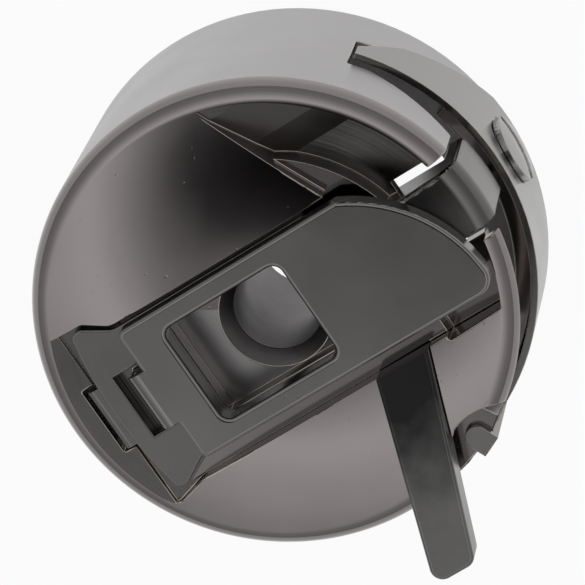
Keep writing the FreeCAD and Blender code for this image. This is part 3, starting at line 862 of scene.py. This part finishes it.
# Stage: a white table under the open rim, in a white tent that is open and dark overhead.
# The camera sees table and tent as white paper, and the table keeps a little of the case's shadow.
floor_half = 3.0
cup_shade = 0.0113
cup_glow = 0.0078
paper_white = 0.94
table_colour = (0.9, 0.9, 0.9, 1.0)
table_rough = 0.9
pool_sizes = {"From Min": 0.012, "From Max": 0.042, "To Min": 0.77, "To Max": 0.38}
floor_height = cad_box[0][2]
floor_mesh = bpy.data.meshes.new("table")
floor_mesh.from_pydata(
    [
        (-floor_half, -floor_half, floor_height),
        (floor_half, -floor_half, floor_height),
        (floor_half, floor_half, floor_height),
        (-floor_half, floor_half, floor_height),
    ],
    [],
    [(0, 1, 2, 3)],
)
floor = bpy.data.objects.new("table", floor_mesh)
bpy.context.scene.collection.objects.link(floor)
white_table = bpy.data.materials.new("white_table")
white_table.use_nodes = True
tree = white_table.node_tree
matte = tree.nodes["Principled BSDF"]
matte.inputs["Base Color"].default_value = table_colour
matte.inputs["Roughness"].default_value = table_rough
glow = tree.nodes.new("ShaderNodeEmission")
blend = tree.nodes.new("ShaderNodeMixShader")
ray = tree.nodes.new("ShaderNodeLightPath")
mirrored = maths(tree, "MAXIMUM", ray.outputs["Is Glossy Ray"], ray.outputs["Is Transmission Ray"])
spot = tree.nodes.new("ShaderNodeTexCoord").outputs["Object"]
flat = tree.nodes.new("ShaderNodeVectorMath")
flat.operation = "MULTIPLY"
flat.inputs[1].default_value = (1.0, 1.0, 0.0)
tree.links.new(spot, flat.inputs[0])
reach = tree.nodes.new("ShaderNodeVectorMath")
reach.operation = "LENGTH"
tree.links.new(flat.outputs[0], reach.inputs[0])
# Painted reflection: mirror rays see the table glow, brighter next to the case and dimmer farther out.
pool = tree.nodes.new("ShaderNodeMapRange")
pool.interpolation_type = "SMOOTHSTEP"
for label, value in pool_sizes.items():
    pool.inputs[label].default_value = value
tree.links.new(reach.outputs["Value"], pool.inputs["Value"])
# Painted light: the table glows outside the rim and in a disc under the middle of the cup, where the
# cup shades it.
outside = maths(tree, "GREATER_THAN", reach.outputs["Value"], cup_shade)
middle = maths(tree, "LESS_THAN", reach.outputs["Value"], cup_glow)
lit = maths(tree, "MAXIMUM", outside, middle)
seen = maths(tree, "MULTIPLY", ray.outputs["Is Camera Ray"], paper_white)
seen = maths(tree, "MAXIMUM", seen, maths(tree, "MULTIPLY", mirrored, pool.outputs["Result"]))
tree.links.new(maths(tree, "MULTIPLY", seen, lit), blend.inputs[0])
tree.links.new(matte.outputs[0], blend.inputs[1])
tree.links.new(glow.outputs[0], blend.inputs[2])
tree.links.new(blend.outputs[0], tree.nodes["Material Output"].inputs[0])
floor_mesh.materials.append(white_table)

# The tent's light grows from the horizon to about 58 degrees up, and falls to dark overhead.
tent = bpy.data.worlds.new("white_tent")
bpy.context.scene.world = tent
tent.use_nodes = True
tree = tent.node_tree
tree.nodes.clear()
way = tree.nodes.new("ShaderNodeTexCoord")
rise = tree.nodes.new("ShaderNodeSeparateXYZ")
tree.links.new(way.outputs["Generated"], rise.inputs[0])
shade = tree.nodes.new("ShaderNodeValToRGB")
shade.color_ramp.interpolation = "EASE"
tent_stops = [
    (0.0, 0.30),
    (0.42, 0.38),
    (0.60, 0.53),
    (0.74, 0.73),
    (0.85, 0.92),
    (0.89, 0.68),
    (0.912, 0.45),
    (0.931, 0.27),
    (0.945, 0.12),
    (0.957, 0.04),
    (1.0, 0.004),
]
while len(shade.color_ramp.elements) < len(tent_stops):
    shade.color_ramp.elements.new(0.5)
for stop, (spot, level) in zip(shade.color_ramp.elements, tent_stops):
    stop.position = spot
    stop.color = (level, level, level, 1.0)
tree.links.new(rise.outputs["Z"], shade.inputs[0])
inside = tree.nodes.new("ShaderNodeBackground")
tree.links.new(shade.outputs[0], inside.inputs["Color"])
paper = tree.nodes.new("ShaderNodeBackground")
blend = tree.nodes.new("ShaderNodeMixShader")
ray = tree.nodes.new("ShaderNodeLightPath")
paper.inputs["Color"].default_value = (1.0, 1.0, 1.0, 1.0)
tree.links.new(ray.outputs["Is Camera Ray"], blend.inputs[0])
tree.links.new(inside.outputs[0], blend.inputs[1])
tree.links.new(paper.outputs[0], blend.inputs[2])
finish = tree.nodes.new("ShaderNodeOutputWorld")
tree.links.new(blend.outputs[0], finish.inputs[0])

# The camera's place, turns and lens were fitted to points of the case in the photograph.
camera_lens = 268.26
camera_near = 0.01
camera_place = (0.061705, 0.043689, 0.196034)
camera_turns = (-20.4033, 7.7882, -34.3932)
camera_data = bpy.data.cameras.new("camera")
camera_data.lens = camera_lens
camera_data.clip_start = camera_near
camera = bpy.data.objects.new("camera", camera_data)
camera.location = camera_place
camera.rotation_euler = [math.radians(turn) for turn in camera_turns]
bpy.context.scene.collection.objects.link(camera)
bpy.context.scene.camera = camera
bpy.context.scene.view_settings.view_transform = "Standard"
